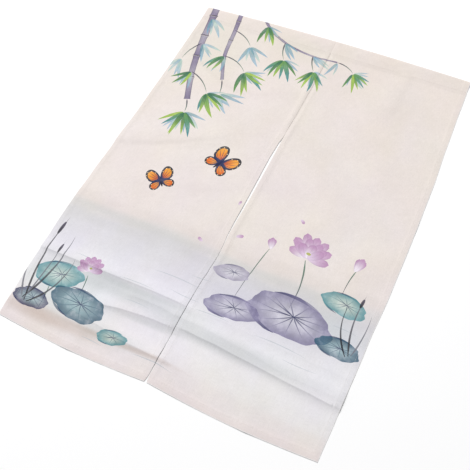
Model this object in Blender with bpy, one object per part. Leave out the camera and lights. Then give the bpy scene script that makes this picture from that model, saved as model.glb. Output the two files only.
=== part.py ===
"""A door curtain of two cloth panels, laid out flat on a surface with its rod sleeve at the top.

Metres, +Z up. The curtain lies on z = 0 with its printed face up, +X across its width and +Y
towards the rod sleeve. The origin is the middle of its footprint. The two panels meet in a
sewn seam at the top and part at a slit lower down.
"""

import bmesh
import bpy
import math

# Overall size of the curtain as it lies
WIDTH = 0.875
LENGTH = 1.1825

# Cloth
CLOTH = 0.0012
HEM_LIFT = 0.0011
SIDE_HEM = 0.016
BOTTOM_HEM = 0.019
HEM_STEP = 0.0025
PIECE_GAP = 0.0003

# Rod sleeve
SLEEVE_STITCH_Y = 0.5385
SEWN_BAND = 0.004
SLEEVE_HEIGHT = 0.0076
TOP_BOW = 0.0095
BOTTOM_BOW = 0.0085
CORNER_ROUND = 0.003

# Contact: the cloth rests flat wherever its folds would lift it by less than this
CONTACT = 0.0007

# Grid of a panel: columns between the side hems, and the rows' spacing in each stretch of length
COLUMNS = 13
ROW_BANDS = (
    # from, to (m above the bottom edge), spacing
    (0.0215, 0.2600, 0.0140),
    (0.2600, 0.7000, 0.0300),
    (0.7000, 1.1290, 0.0290),
)
BOW_FADES_AT = 0.25

# Sleeve stations along X
SLEEVE_STATIONS = 28

# How far each long edge lies inside the overall width, in mm, by its share of the length
LEFT_INSET = (
    # share from the bottom, inset
    (0.00, 11.0),
    (0.05, 8.5),
    (0.15, 3.7),
    (0.28, 0.0),
    (0.40, 2.5),
    (0.50, 7.0),
    (0.62, 11.5),
    (0.80, 14.0),
    (1.00, 14.5),
)
RIGHT_INSET = (
    # share from the bottom, inset
    (0.00, 14.0),
    (0.10, 11.0),
    (0.25, 7.0),
    (0.38, 1.5),
    (0.50, 0.0),
    (0.66, 0.7),
    (0.78, 5.5),
    (0.90, 9.0),
    (1.00, 11.0),
)

# The middle line between the panels: sewn above y = 198 mm, a slit below it
SLIT_LINE = (
    # y, middle, half the gap, all in mm
    (-595.0, -4.6, 3.4),
    (-572.0, -4.5, 0.8),
    (-340.0, -3.2, 0.6),
    (-290.0, -1.0, 0.6),
    (-245.0, 4.4, 0.6),
    (-215.0, 5.4, 0.6),
    (-185.0, 3.6, 0.7),
    (-150.0, 0.8, 1.1),
    (-110.0, 1.6, 1.9),
    (-70.0, 2.8, 2.5),
    (-20.0, 3.6, 3.0),
    (30.0, 4.0, 3.3),
    (110.0, 4.1, 3.6),
    (160.0, 5.2, 2.5),
    (198.0, 7.0, 0.15),
    (300.0, 10.5, 0.15),
    (420.0, 12.5, 0.15),
    (595.0, 12.5, 0.15),
)

# Folds of the cloth as it lies. Each is a soft ridge along a line, in mm
FOLDS = (
    # name, start, end, height, reach on the sleeve's side, reach on the hem's side
    ("packing crease right", (34, -432), (436, -455), 5.8, 48, 20),
    ("packing crease left", (-190, -451), (-40, -437), 5.2, 46, 20),
    ("second crease left", (-410, -377), (-34, -376), 3.0, 30, 18),
    ("second crease right", (34, -374), (405, -382), 1.6, 28, 20),
    ("low ripple", (-240, -502), (-6, -521), 3.8, 26, 20),
    ("bowl fold outer", (-350, 380), (-204, 315), 2.3, 46, 22),
    ("bowl fold inner", (-150, 312), (-14, 357), 1.9, 44, 24),
    ("side pleat", (-425, 8), (-162, 118), 3.2, 50, 28),
    ("middle ripple", (-300, -90), (-120, -34), 1.8, 34, 26),
    ("hanging pleat", (252, 570), (246, 410), 2.5, 20, 46),
    ("hanging pleat left", (-150, 570), (-168, 455), 1.5, 22, 38),
    ("right swell", (330, 150), (440, 60), 1.7, 34, 34),
    ("left swell", (-440, -190), (-345, -262), 2.2, 34, 28),
    ("slit lip", (-4, -95), (-60, -185), 1.4, 28, 24),
    ("slit lip right", (4, -60), (72, -120), 1.6, 26, 24),
    ("hem ripple left", (-222, -592), (-214, -528), 2.2, 24, 28),
    ("hem ripple right", (252, -592), (236, -530), 2.0, 24, 28),
)
FOLD_ENDS = 45.0  # mm over which a fold dies out past each end

# Sleeve section from its stitched edge to its fold, by shares of its depth and height. The rows
# between the two numbers below it lie over the hollow
SLEEVE_SECTION = (
    # across, outer height
    (0.00, 0.34),
    (0.09, 0.36),
    (0.21, 0.92),
    (0.36, 0.99),
    (0.52, 1.00),
    (0.68, 0.99),
    (0.84, 0.93),
    (0.95, 0.66),
    (1.00, 0.28),
)
HOLLOW_FROM, HOLLOW_TO = 2, 7

CLOTH_COLOUR = (0.80, 0.73, 0.66, 1.0)
SLEEVE_COLOUR = (0.74, 0.70, 0.64, 1.0)


def mm(value):
    return value / 1000


def smooth(t):
    t = min(max(t, 0.0), 1.0)
    return t * t * (3 - 2 * t)


def read(table, at, column):
    """A table's column at this value of its first column, eased between its rows."""
    if at <= table[0][0]:
        return table[0][column]
    for low, high in zip(table, table[1:]):
        if at <= high[0]:
            share = smooth((at - low[0]) / (high[0] - low[0]))
            return low[column] + (high[column] - low[column]) * share
    return table[-1][column]


def left_edge(y):
    return -WIDTH / 2 + mm(read(LEFT_INSET, y / LENGTH + 0.5, 1))


def right_edge(y):
    return WIDTH / 2 - mm(read(RIGHT_INSET, y / LENGTH + 0.5, 1))


def slit_edge(y, side):
    """The inner edge of the left panel (side -1) or of the right one (side 1)."""
    middle = read(SLIT_LINE, y * 1000, 1)
    half_gap = read(SLIT_LINE, y * 1000, 2)
    return mm(middle + side * half_gap)


def top_edge(x):
    """The sleeve's folded edge: bowed, with its corners rounded off."""
    across = abs(x) / (WIDTH / 2)
    corner = smooth((across - 0.95) / 0.05)
    return LENGTH / 2 - TOP_BOW * min(across, 1) ** 2 - CORNER_ROUND * corner


def fold_height(x, y):
    """How far all the folds together lift the cloth off the surface here."""
    total = 0.0
    for _, start, end, height, reach_up, reach_down in FOLDS:
        run = (mm(end[0] - start[0]), mm(end[1] - start[1]))
        length = math.hypot(*run)
        along_x, along_y = run[0] / length, run[1] / length
        away = (x - mm(start[0]), y - mm(start[1]))
        along = away[0] * along_x + away[1] * along_y
        across = away[1] * along_x - away[0] * along_y
        reach = mm(reach_up if across > 0 else reach_down)
        past_end = max(-along, along - length, 0.0)
        distance = (across / reach) ** 2 + (past_end / mm(FOLD_ENDS)) ** 2
        total += mm(height) * math.exp(-distance)
    return total


def underside(x, y):
    return max(fold_height(x, y) - CONTACT, 0.0)


def hem_lift(inside_side, inside_bottom):
    """Extra height of the doubled cloth, by how far a point lies inside the hemmed edges."""
    on_side = 1 - smooth((inside_side - SIDE_HEM) / HEM_STEP)
    on_bottom = 1 - smooth((inside_bottom - BOTTOM_HEM) / HEM_STEP)
    return HEM_LIFT * max(on_side, on_bottom)


def columns():
    """Shares across a panel: its two side hems, and even steps between them."""
    panel = WIDTH / 2
    hem, step = SIDE_HEM / panel, (SIDE_HEM + HEM_STEP) / panel
    inner = [step + (1 - 2 * step) * i / COLUMNS for i in range(COLUMNS + 1)]
    return [0.0, hem] + inner + [1 - hem, 1.0]


def rows():
    """Distances of the grid's rows above the bottom edge."""
    found = [0.0, BOTTOM_HEM]
    for start, end, spacing in ROW_BANDS:
        steps = max(round((end - start) / spacing), 1)
        found += [start + (end - start) * i / steps for i in range(steps)]
    return found + [ROW_BANDS[-1][1]]


def panel_point(side, across, above):
    """(x, y) on the left panel (side -1) or the right one, which shares its rows."""
    bow = BOTTOM_BOW * (1 - math.sin(math.pi * across))
    top = SLEEVE_STITCH_Y - PIECE_GAP / 2
    y = -LENGTH / 2 + above + bow * (1 - smooth(above / BOW_FADES_AT))
    if above == ROW_BANDS[-1][1]:
        y = top
    inner = slit_edge(y, side)
    low, high = (left_edge(y), inner) if side < 0 else (inner, right_edge(y))
    return low + (high - low) * across, y


def add_object(name, bm, colour):
    bmesh.ops.recalc_face_normals(bm, faces=bm.faces)
    mesh = bpy.data.meshes.new(name)
    bm.to_mesh(mesh)
    bm.free()
    mesh.shade_smooth()
    mesh.set_sharp_from_angle(angle=math.radians(35))
    material = bpy.data.materials.new(name + "_cloth")
    material.use_nodes = True
    shader = material.node_tree.nodes["Principled BSDF"]
    shader.inputs["Base Color"].default_value = colour
    shader.inputs["Roughness"].default_value = 0.9
    shader.inputs["Metallic"].default_value = 0.0
    mesh.materials.append(material)
    made = bpy.data.objects.new(name, mesh)
    bpy.context.scene.collection.objects.link(made)
    return made


def make_panel(name, side):
    """One hemmed panel: a sheet on its folds, flat on the surface between them."""
    across, above = columns(), rows()
    bm = bmesh.new()
    grid = []
    for height in above:
        points = [panel_point(side, share, height) for share in across]
        grid.append([bm.verts.new((x, y, underside(x, y))) for x, y in points])
    for row, next_row in zip(grid, grid[1:]):
        for i in range(len(across) - 1):
            bm.faces.new((row[i], row[i + 1], next_row[i + 1], next_row[i]))
    lower = [vert for row in grid for vert in row]
    raised = {}
    panel = WIDTH / 2
    for row, height in zip(grid, above):
        for vert, share in zip(row, across):
            inside_side = min(share, 1 - share) * panel
            raised[vert] = CLOTH + hem_lift(inside_side, height)
    copied = bmesh.ops.duplicate(bm, geom=lower + bm.edges[:] + bm.faces[:])
    upper = {old: copied["vert_map"][old] for old in lower}
    for old, new in upper.items():
        new.co.z += raised[old]
    rim = grid[0] + [row[-1] for row in grid[1:]]
    rim += grid[-1][-2::-1] + [row[0] for row in grid[-2:0:-1]]
    for first, second in zip(rim, rim[1:] + rim[:1]):
        bm.faces.new((first, second, upper[second], upper[first]))
    return add_object(name, bm, CLOTH_COLOUR)


def sleeve_loops(x):
    """The sleeve's outer loop and its hollow's loop at x, each as (y, z) points."""
    front = SLEEVE_STITCH_Y + PIECE_GAP / 2
    depth = top_edge(x) - front
    height = SLEEVE_HEIGHT * (1 + 0.025 * math.sin(x * 21) + 0.015 * math.sin(x * 47 + 1))
    crown = [(front + depth * across, height * share) for across, share in SLEEVE_SECTION]
    outer = [(front, 0.0), (front + depth * 0.5, 0.0), (front + depth * 0.985, 0.0)]
    outer += list(reversed(crown))
    hollow = [(front + SEWN_BAND, CLOTH), (front + depth - 1.6 * CLOTH, CLOTH)]
    hollow += [(y, z - CLOTH) for y, z in reversed(crown[HOLLOW_FROM:HOLLOW_TO])]
    return outer, hollow


def make_sleeve():
    """The rod sleeve: the panels' top turned over and sewn down, open at both ends."""
    bm = bmesh.new()
    stations = []
    for i in range(SLEEVE_STATIONS + 1):
        share = i / SLEEVE_STATIONS
        x = left_edge(LENGTH / 2) + (right_edge(LENGTH / 2) - left_edge(LENGTH / 2)) * share
        loops = [[bm.verts.new((x, y, z)) for y, z in loop] for loop in sleeve_loops(x)]
        stations.append(loops)
    for here, there in zip(stations, stations[1:]):
        for loop, next_loop in zip(here, there):
            count = len(loop)
            for i in range(count):
                j = (i + 1) % count
                bm.faces.new((loop[i], loop[j], next_loop[j], next_loop[i]))
    for outer, hollow in (stations[0], stations[-1]):
        edges = [bm.edges.get((a, b)) for loop in (outer, hollow)
                 for a, b in zip(loop, loop[1:] + loop[:1])]
        bmesh.ops.triangle_fill(bm, use_beauty=True, edges=edges)
    return add_object("rod_sleeve", bm, SLEEVE_COLOUR)


def clear_scene():
    for leftover in list(bpy.data.objects):
        bpy.data.objects.remove(leftover, do_unlink=True)


def main():
    clear_scene()
    make_panel("panel_left", -1)
    make_panel("panel_right", 1)
    make_sleeve()


main()
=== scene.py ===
"""A split door curtain in printed linen-look cloth, laid flat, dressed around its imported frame.

Metres, +Z up, in the curtain's own frame: +X across its width, +Y towards the rod sleeve, the
printed face up. The print is drawn on the flat cloth, in "plane" coordinates: x from the line
between the two panels, y as in the frame, running on over the sleeve. Every cut edge, fold and
painted outline is an edge of the cloth's mesh.
"""

import math
import random

import bpy
import numpy as np
from mathutils import Matrix, Vector
from mathutils.geometry import delaunay_2d_cdt


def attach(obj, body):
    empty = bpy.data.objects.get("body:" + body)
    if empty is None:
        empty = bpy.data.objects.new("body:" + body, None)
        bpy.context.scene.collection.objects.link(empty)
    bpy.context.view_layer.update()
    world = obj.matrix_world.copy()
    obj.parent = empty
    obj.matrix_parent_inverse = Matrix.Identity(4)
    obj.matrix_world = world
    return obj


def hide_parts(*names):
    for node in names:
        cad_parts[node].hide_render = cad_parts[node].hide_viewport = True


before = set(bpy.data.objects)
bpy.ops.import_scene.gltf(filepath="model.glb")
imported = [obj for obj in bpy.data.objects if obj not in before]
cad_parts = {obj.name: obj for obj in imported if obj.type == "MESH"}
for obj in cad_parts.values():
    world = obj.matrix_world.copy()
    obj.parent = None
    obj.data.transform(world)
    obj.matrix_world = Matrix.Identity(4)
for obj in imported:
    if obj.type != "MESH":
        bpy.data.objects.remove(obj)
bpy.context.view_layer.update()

# Sizes of the curtain as it lies, as in its solids
WIDTH = 0.875
LENGTH = 1.1825
SLEEVE_STITCH_Y = 0.5385
PIECE_GAP = 0.0003
SLEEVE_HEIGHT = 0.0076
TOP_BOW = 0.0095
BOTTOM_BOW = 0.0085
BOW_FADES_AT = 0.25
CORNER_ROUND = 0.003
CONTACT = 0.0007
SOFTENING = 0.0005

# Flat, finished size of a panel, and the plane's y where the panels end and the sleeve begins
PANEL = 0.4255
FOOT = -LENGTH / 2
PANEL_TOP = SLEEVE_STITCH_Y - PIECE_GAP / 2
SLEEVE_START = SLEEVE_STITCH_Y + PIECE_GAP / 2

# Cloth and its hems
SHEET = 0.0006
REST = 0.0001
HEM_FOLD = 0.00042
HEM_WIDTH = 0.0155
BOTTOM_HEM = 0.0185
HEM_STEP = 0.0065
EDGE_ROUND = 0.0009
EDGE_DROP = 0.0007
BACK_DROP = 0.0005
STITCH_LINE = 0.0132
STITCH_SINK = 0.00016
STITCH_DENT = 0.0011
HEM_SET_IN = 0.0003
SEAM_TOP = 0.0013
SEAM_RISE = 0.014

# The hem's turned-under cloth: how its folded edge rounds off and its cut edge thins out
HEM_ROUND = 0.0006
HEM_ROUND_RISE = 0.00017
HEM_END_REACH = 0.0010
HEM_END_DROP = 0.00018
HEM_CLEARANCE = 0.00002

# The sleeve's cloth: its groove over the seam, its tucked-in end, and the hems at its two ends
GROOVE = 0.00045
GROOVE_REACH = 0.0012
TUCK_START = 0.016
TUCK_FADE = 0.006
SLEEVE_HEM = 0.00045
SLEEVE_HEM_LIFT = 0.00012
SLEEVE_FACE_DROP = 0.00025
SLEEVE_BACK_DROP = 0.0002

# Spacing of the cloth's own points, and of the points along hems and folds
GRID = 0.0072

# How far each long edge lies inside the overall width, in mm, by its share of the length
LEFT_INSET = (
    # share from the bottom, inset
    (0.00, 11.0),
    (0.05, 8.5),
    (0.15, 3.7),
    (0.28, 0.0),
    (0.40, 2.5),
    (0.50, 7.0),
    (0.62, 11.5),
    (0.80, 14.0),
    (1.00, 14.5),
)
RIGHT_INSET = (
    # share from the bottom, inset
    (0.00, 14.0),
    (0.10, 11.0),
    (0.25, 7.0),
    (0.38, 1.5),
    (0.50, 0.0),
    (0.66, 0.7),
    (0.78, 5.5),
    (0.90, 9.0),
    (1.00, 11.0),
)

# The line between the panels: sewn above y = 198 mm, a slit below it
SLIT_LINE = (
    # y, middle, half the gap, all in mm
    (-595.0, -4.6, 4.6),
    (-562.0, -4.5, 0.8),
    (-345.0, -3.2, 0.6),
    (-305.0, -1.6, 0.6),
    (-265.0, 1.8, 0.6),
    (-220.0, 4.6, 0.6),
    (-185.0, 3.6, 0.7),
    (-150.0, 1.2, 1.1),
    (-110.0, 1.6, 1.9),
    (-70.0, 2.8, 2.5),
    (-20.0, 3.6, 3.0),
    (30.0, 4.0, 3.3),
    (110.0, 4.1, 3.6),
    (160.0, 5.2, 2.5),
    (198.0, 7.0, 0.15),
    (300.0, 10.5, 0.15),
    (420.0, 12.5, 0.15),
    (595.0, 12.5, 0.15),
)

# Main folds of the cloth as it lies, each a soft ridge along a line, in mm
FOLDS = (
    # start, end, height, reach on the sleeve's side, reach on the hem's side
    ((-350, 380), (-204, 315), 2.3, 46, 22),
    ((-150, 312), (-14, 357), 1.9, 44, 24),
    ((-425, 8), (-162, 118), 3.2, 50, 28),
    ((-300, -90), (-120, -34), 1.8, 34, 26),
    ((252, 570), (246, 410), 2.5, 20, 46),
    ((-150, 570), (-168, 455), 1.5, 22, 38),
    ((330, 150), (440, 60), 1.7, 34, 34),
    ((-440, -190), (-345, -262), 2.2, 34, 28),
    ((-4, -95), (-60, -185), 0.9, 28, 24),
    ((4, -60), (72, -120), 1.2, 26, 24),
    ((-222, -592), (-214, -528), 2.2, 24, 28),
    ((252, -592), (236, -530), 2.0, 24, 28),
)
FOLD_ENDS = 45.0

# Packing creases, where the cloth was folded small: a slow rise on the sleeve's side of the line
# and a sharp fall on the hem's side, in mm
CREASES = (
    # height, reach of the rise, reach of the fall, points
    (6.3, 48, 9.5, ((30, -433), (60, -435), (105, -436), (150, -440), (200, -443), (250, -447),
                    (300, -451), (350, -453), (402, -457))),
    (2.3, 36, 13.0, ((22, -409), (60, -409), (105, -413), (150, -418), (200, -422), (250, -431),
                     (300, -436), (350, -436), (402, -437))),
    (6.9, 46, 11.5, ((-190, -456), (-150, -448), (-120, -445), (-90, -442), (-60, -440), (-30, -440))),
    (2.6, 26, 9.0, ((-130, -405), (-60, -404), (-26, -408))),
    (5.4, 30, 8.5, ((-412, -378), (-300, -376), (-100, -374), (-28, -375))),
    (1.5, 28, 12.0, ((32, -375), (100, -374), (200, -380), (405, -384))),
    (4.8, 26, 12.0, ((-250, -500), (-220, -504), (-150, -511), (-100, -518), (-50, -520), (-6, -522))),
)
CREASE_ENDS = 30.0

# Pressed lines and small wrinkles that ride on the main folds, in mm. Troughs are below 0
PRESSED_LINES = (
    # height, reach, points
    (-0.72, 9.0, ((-376, 392), (-344, 352), (-290, 316), (-232, 297), (-200, 294))),
    (-0.28, 9.0, ((-150, 298), (-100, 312), (-46, 338))),
    (-0.72, 9.5, ((-425, -8), (-380, 5), (-320, 28), (-262, 56), (-200, 90), (-168, 108))),
    (0.12, 7.0, ((-415, -118), (-100, -113), (415, -112))),
    (0.10, 7.0, ((-415, 150), (60, 144), (415, 146))),
    (0.12, 7.0, ((212, 520), (214, 240), (206, -120))),
    (0.12, 7.0, ((-214, 520), (-216, 60), (-208, -590))),
    (1.55, 8.5, ((5, 500), (5, 420), (3, 300), (1, 240))),
    (-0.60, 5.0, ((14, 510), (14, 420), (12, 300), (9, 225))),
    (0.45, 14.0, ((30, 510), (30, 420), (27, 300), (20, 225))),
    (1.10, 9.0, ((14, 215), (11, 170), (10, 60), (9, -60), (8, -120))),
    (0.90, 9.0, ((12, -150), (15, -215), (8, -270))),
    (0.42, 9.0, ((128, -470), (160, -496), (212, -540))),
    (0.38, 9.0, ((296, -474), (318, -520), (352, -560))),
    (0.35, 9.0, ((-330, -474), (-346, -512), (-372, -545))),
    (0.30, 12.0, ((60, 250), (92, 214), (128, 190))),
    (0.32, 12.0, ((312, 300), (352, 288), (398, 262))),
    (0.30, 11.0, ((-120, -250), (-84, -264), (-42, -290))),
    (0.30, 12.0, ((150, -250), (206, -246), (262, -232))),
)
PRESSED_ENDS = 30.0

# Slow unevenness of the cloth: waves across the whole curtain, in mm and radians
RIPPLES = (
    # height, waves a metre along x, along y, start
    (0.34, 17.0, 9.0, 0.4),
    (0.26, -11.0, 21.0, 1.9),
    (0.20, 29.0, -17.0, 3.1),
    (0.12, 47.0, 39.0, 0.9),
)

# Section of the rod sleeve's cloth, from the stitched front edge over the crown to the fold, back
# underneath and turned in: share of the depth, share of the crown, and a fixed height in mm
SLEEVE_SECTION = (
    # across, crown, fixed
    (0.000, 0.00, 1.60),
    (0.045, 0.00, 1.64),
    (0.090, 0.02, 1.58),
    (0.180, 0.09, 1.30),
    (0.320, 0.21, 0.86),
    (0.480, 0.32, 0.50),
    (0.620, 0.37, 0.36),
    (0.760, 0.38, 0.32),
    (0.860, 0.37, 0.30),
    (0.940, 0.31, 0.28),
    (0.982, 0.21, 0.26),
    (0.997, 0.10, 0.26),
    (0.984, 0.02, 0.30),
    (0.960, 0.00, 0.42),
    (0.800, 0.00, 0.42),
    (0.500, 0.00, 0.42),
    (0.200, 0.00, 0.42),
    (0.035, 0.00, 0.42),
    (0.012, 0.00, 0.52),
    (0.008, 0.00, 0.72),
    (0.014, 0.00, 0.92),
    (0.035, 0.00, 1.02),
    (0.150, 0.00, 1.02),
)


def smooth(t):
    t = np.clip(t, 0.0, 1.0)
    return t * t * (3 - 2 * t)


def new_object(name, data):
    made = bpy.data.objects.new(name, data)
    bpy.context.scene.collection.objects.link(made)
    return made


def read(table, at, column):
    """A table's column at these values of its first column, eased between its rows."""
    rows = np.array(table, float)
    keys, values = rows[:, 0], rows[:, column]
    at = np.clip(at, keys[0], keys[-1])
    low = np.clip(np.searchsorted(keys, at, side="right") - 1, 0, len(keys) - 2)
    share = smooth((at - keys[low]) / (keys[low + 1] - keys[low]))
    return values[low] + (values[low + 1] - values[low]) * share


# How the cloth lies


def left_edge(y):
    return -WIDTH / 2 + read(LEFT_INSET, y / LENGTH + 0.5, 1) / 1000


def right_edge(y):
    return WIDTH / 2 - read(RIGHT_INSET, y / LENGTH + 0.5, 1) / 1000


def slit_edge(y, side):
    """The inner edge of the left panel (side -1), of the right one (1), or their middle (0)."""
    middle = read(SLIT_LINE, y * 1000, 1)
    half_gap = read(SLIT_LINE, y * 1000, 2)
    return (middle + side * half_gap) / 1000


def top_edge(x):
    across = np.abs(x) / (WIDTH / 2)
    corner = smooth((across - 0.95) / 0.05)
    return LENGTH / 2 - TOP_BOW * np.minimum(across, 1) ** 2 - CORNER_ROUND * corner


def from_line(x, y, start, end):
    """How far places lie along a line and to its left, and the line's length, in mm."""
    run = np.array(end, float) - np.array(start, float)
    length = np.hypot(*run)
    along_x, along_y = run / length
    away_x, away_y = x * 1000 - start[0], y * 1000 - start[1]
    along = away_x * along_x + away_y * along_y
    return along, away_y * along_x - away_x * along_y, length


def ridge(x, y, start, end, height, reach_up, reach_down):
    """Height of one soft ridge along a line. Its two sides may differ in reach."""
    along, across, length = from_line(x, y, start, end)
    reach = np.where(across > 0, reach_up, reach_down)
    past_end = np.maximum(np.maximum(-along, along - length), 0.0)
    return height / 1000 * np.exp(-((across / reach) ** 2) - (past_end / FOLD_ENDS) ** 2)


def pressed(x, y, height, reach, points):
    """Height of a pressed line through some points, dying out past its two ends."""
    nearest = np.full(np.shape(x), 1e9)
    for i, (start, end) in enumerate(zip(points, points[1:])):
        along, across, length = from_line(x, y, start, end)
        before = np.maximum(-along, 0.0) / (reach if i else PRESSED_ENDS)
        after = np.maximum(along - length, 0.0) / (reach if i < len(points) - 2 else PRESSED_ENDS)
        nearest = np.minimum(nearest, (across / reach) ** 2 + before**2 + after**2)
    return height / 1000 * np.exp(-nearest)


def creased(x, y, height, reach_up, reach_down, points):
    """Height of a packing crease that crosses the cloth through some points."""
    line = np.array(points, float)
    x, y = x * 1000, y * 1000
    above = y - np.interp(x, line[:, 0], line[:, 1])
    past_end = np.maximum(np.maximum(line[0, 0] - x, x - line[-1, 0]), 0.0)
    rise = (np.maximum(above, 0.0) / reach_up) ** 2
    fall = np.maximum(-above, 0.0) / reach_down
    return height / 1000 * np.exp(-rise - fall - (past_end / CREASE_ENDS) ** 2)


def lie_height(x, y):
    """How far the cloth's underside lies above the surface at these places."""
    total = np.zeros(np.shape(x))
    for start, end, height, reach_up, reach_down in FOLDS:
        total += ridge(x, y, start, end, height, reach_up, reach_down)
    for height, reach_up, reach_down, points in CREASES:
        total += creased(x, y, height, reach_up, reach_down, points)
    lifted = total - CONTACT
    lie = 0.5 * (lifted + np.sqrt(lifted**2 + SOFTENING**2))
    for height, reach, points in PRESSED_LINES:
        lie += pressed(x, y, height, reach, points)
    for height, waves_x, waves_y, begin in RIPPLES:
        lie += height / 2000 * (1 + np.sin(waves_x * x + waves_y * y + begin))
    return 0.5 * (lie + np.sqrt(lie**2 + (SOFTENING / 4) ** 2))


def panel_edges(side, y):
    """The left and right edge of the left panel (side -1) or the right one."""
    inner = slit_edge(y, side)
    return (left_edge(y), inner) if side < 0 else (inner, right_edge(y))


def foot_bow(share, plane_y):
    """How far a panel's foot bows in at its corners, dying out above it."""
    bow = BOTTOM_BOW * (1 - np.sin(math.pi * np.clip(share, 0, 1)))
    return bow * (1 - smooth((plane_y - FOOT) / BOW_FADES_AT))


def panel_xy(side, plane_x, plane_y):
    """Where places on a panel's flat cloth lie."""
    share = plane_x / PANEL + (1 if side < 0 else 0)
    y = plane_y + foot_bow(share, plane_y)
    low, high = panel_edges(side, y)
    return low + (high - low) * share, y


def flat_place(side, x, y):
    """Where places on a panel as it lies are on its flat cloth: panel_xy turned round."""
    low, high = panel_edges(side, y)
    share = (x - low) / (high - low)
    plane_y = y
    for _ in range(3):
        plane_y = y - foot_bow(share, plane_y)
    return np.stack([(share - (1 if side < 0 else 0)) * PANEL, plane_y], 1)


def hem_distance(side, plane_x, plane_y):
    """How far places on a panel lie inside its hems. The deeper bottom hem counts as a side hem."""
    share = plane_x / PANEL + (1 if side < 0 else 0)
    from_foot = (plane_y - FOOT) * HEM_WIDTH / BOTTOM_HEM
    return np.minimum(np.minimum(share, 1 - share) * PANEL, from_foot)


def panel_cloth(side, plane_x, plane_y, layer):
    """Points of a panel's cloth: layer 1 is its printed face and layer 0 its back."""
    x, y = panel_xy(side, plane_x, plane_y)
    inside = hem_distance(side, plane_x, plane_y)
    hem = HEM_FOLD * (1 - smooth((inside - HEM_WIDTH + HEM_STEP / 2) / HEM_STEP))
    seam = SEAM_TOP * smooth((plane_y - PANEL_TOP + SEAM_RISE) / SEAM_RISE)
    back = lie_height(x, y) + REST + np.maximum(hem, seam)
    curl = np.clip(1 - inside / EDGE_ROUND, 0, 1) ** 2
    face = back + SHEET - EDGE_DROP * curl
    sunk = STITCH_SINK * np.exp(-(((inside - STITCH_LINE) / STITCH_DENT) ** 2))
    z = np.where(layer > 0, face - sunk, back - BACK_DROP * curl)
    return np.stack([x, y, z], -1)


def hem_cloth(side, plane_x, plane_y, layer):
    """Points of the hem's turned-under cloth, which fills the space below a panel's edges."""
    x, y = panel_xy(side, plane_x, plane_y)
    inside = hem_distance(side, plane_x, plane_y)
    start = np.clip(1 - (inside - HEM_SET_IN) / HEM_ROUND, 0, 1)
    round_off = HEM_ROUND_RISE * (1 - np.sqrt(1 - start**2))
    inner = HEM_END_DROP * np.clip((inside - HEM_WIDTH + HEM_END_REACH) / HEM_END_REACH, 0, 1) ** 2
    low = lie_height(x, y) + REST / 2
    z = np.where(layer > 0, low + HEM_FOLD - HEM_CLEARANCE - round_off - inner, low + round_off)
    return np.stack([x, y, z], -1)


def catmull(points, steps):
    """A smooth line through points, with this many short steps between each two."""
    points = np.array(points, float)
    padded = np.concatenate([[2 * points[0] - points[1]], points, [2 * points[-1] - points[-2]]])
    found = []
    for i in range(len(points) - 1):
        a, b, c, d = padded[i : i + 4]
        for t in np.arange(steps) / steps:
            found.append(
                0.5
                * (2 * b + (c - a) * t + (2 * a - 5 * b + 4 * c - d) * t**2
                   + (3 * b - a - 3 * c + d) * t**3)
            )
    return np.array(found + [points[-1]])


def run_along(line):
    """Length of a line at each of its points."""
    steps = np.hypot(*np.diff(line, axis=0).T)
    return np.concatenate([[0.0], np.cumsum(steps)])


SECTION = catmull(SLEEVE_SECTION, 8)


def section_run():
    """Length of the sleeve's section at each of its points, at the sleeve's usual size."""
    depth = LENGTH / 2 - 0.003 - SLEEVE_START
    height = SECTION[:, 1] * SLEEVE_HEIGHT + SECTION[:, 2] / 1000
    return run_along(np.stack([SECTION[:, 0] * depth, height], 1))


SECTION_RUN = section_run()
SLEEVE_RUN = SECTION_RUN[-1]
SLEEVE_END = SLEEVE_START + SLEEVE_RUN


def sleeve_middle(plane_x, plane_y):
    """The middle of the sleeve's cloth, as y, z, and the x of the place."""
    run = plane_y - SLEEVE_START
    across, crown, fixed = (np.interp(run, SECTION_RUN, SECTION[:, i]) for i in range(3))
    mid_y = np.full(np.shape(plane_x), LENGTH / 2)
    seam = slit_edge(mid_y, 0)
    share = plane_x / PANEL
    low, high = left_edge(mid_y), right_edge(mid_y)
    x = np.where(share < 0, seam + (seam - low) * share, seam + (high - seam) * share)
    depth = top_edge(x) - SLEEVE_START
    uneven = 1 + 0.025 * np.sin(x * 21) + 0.015 * np.sin(x * 47 + 1)
    sag = 0.035 * np.sin(x * 63 + across * 4) + 0.03 * np.sin(x * 118 - across * 7)
    height = SLEEVE_HEIGHT * uneven * (1 + sag)
    y = SLEEVE_START + depth * across
    return x, y, crown * height + fixed / 1000


def sleeve_cloth(side, plane_x, plane_y, layer):
    """Points of the sleeve's cloth: layer 1 is its printed face and layer 0 its inner side."""
    step = 0.00025
    x, y, z = sleeve_middle(plane_x, plane_y)
    _, y_on, z_on = sleeve_middle(plane_x, np.minimum(plane_y + step, SLEEVE_END))
    _, y_back, z_back = sleeve_middle(plane_x, np.maximum(plane_y - step, SLEEVE_START))
    run = np.hypot(y_on - y_back, z_on - z_back)
    out_y, out_z = (z_back - z_on) / run, (y_on - y_back) / run
    edge = PANEL - np.abs(plane_x)
    hem = 1 - smooth((edge - HEM_WIDTH + HEM_STEP / 2) / HEM_STEP)
    curl = np.clip(1 - edge / EDGE_ROUND, 0, 1) ** 2
    groove = GROOVE * np.exp(-((plane_x / GROOVE_REACH) ** 2))
    tucked = smooth((plane_y - SLEEVE_END + TUCK_START) / TUCK_FADE)
    outer = SHEET / 2 - SLEEVE_FACE_DROP * curl - groove * (1 - tucked)
    inner = SHEET / 2 + SLEEVE_HEM * hem * (1 - tucked) - SLEEVE_BACK_DROP * curl
    offset = np.where(layer > 0, outer, -inner)
    lift = SLEEVE_HEM_LIFT * hem
    return np.stack([x, y + out_y * offset, np.maximum(z + out_z * offset + lift, 0.0)], -1)


# The print: what is drawn on the flat cloth, in mm on the plane

LEAF_STEPS = 11
PETAL_STEPS = 9


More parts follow.
